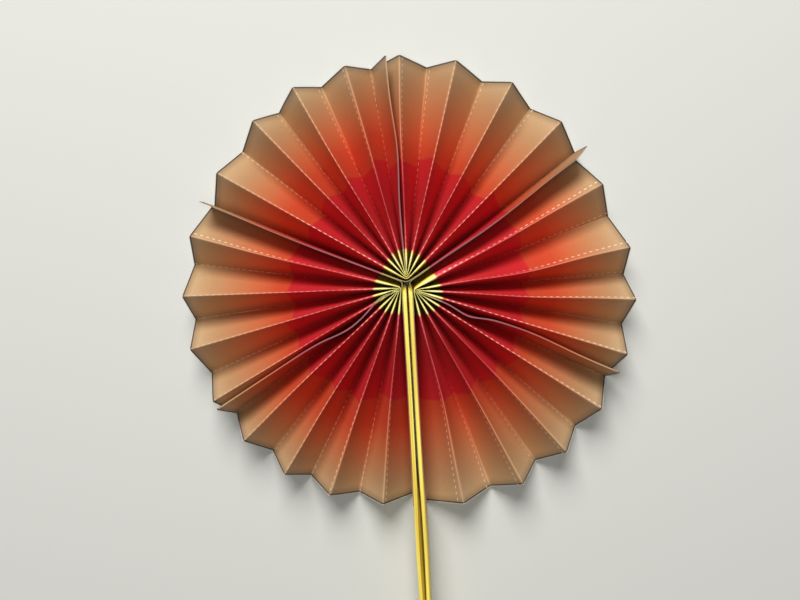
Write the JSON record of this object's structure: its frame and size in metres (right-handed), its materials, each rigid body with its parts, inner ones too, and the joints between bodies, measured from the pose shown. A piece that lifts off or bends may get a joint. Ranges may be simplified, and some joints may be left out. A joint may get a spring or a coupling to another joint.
{
  "type": "paper fan rosette",
  "caption": "Round pleated card fan on a flat handle of paired craft sticks, folded sheets glued edge to edge into a full rosette.",
  "frame": {"origin": "the hub, where the outer panels of the sheets meet, in the plane that the back folds lie on", "axes": "+Z out of the front of the rosette, -Y along the handle"},
  "size_m": [0.2241, 0.3131, 0.0279],
  "materials": {
    "printed_card": "matt printed card",
    "dyed_wood": "dyed and unvarnished"
  },
  "bodies": {
    "root": {"sheet_top": "printed_card", "sheet_left": "printed_card", "sheet_right": "printed_card", "stick_left": "dyed_wood", "stick_right": "dyed_wood"}
  },
  "joints": []
}
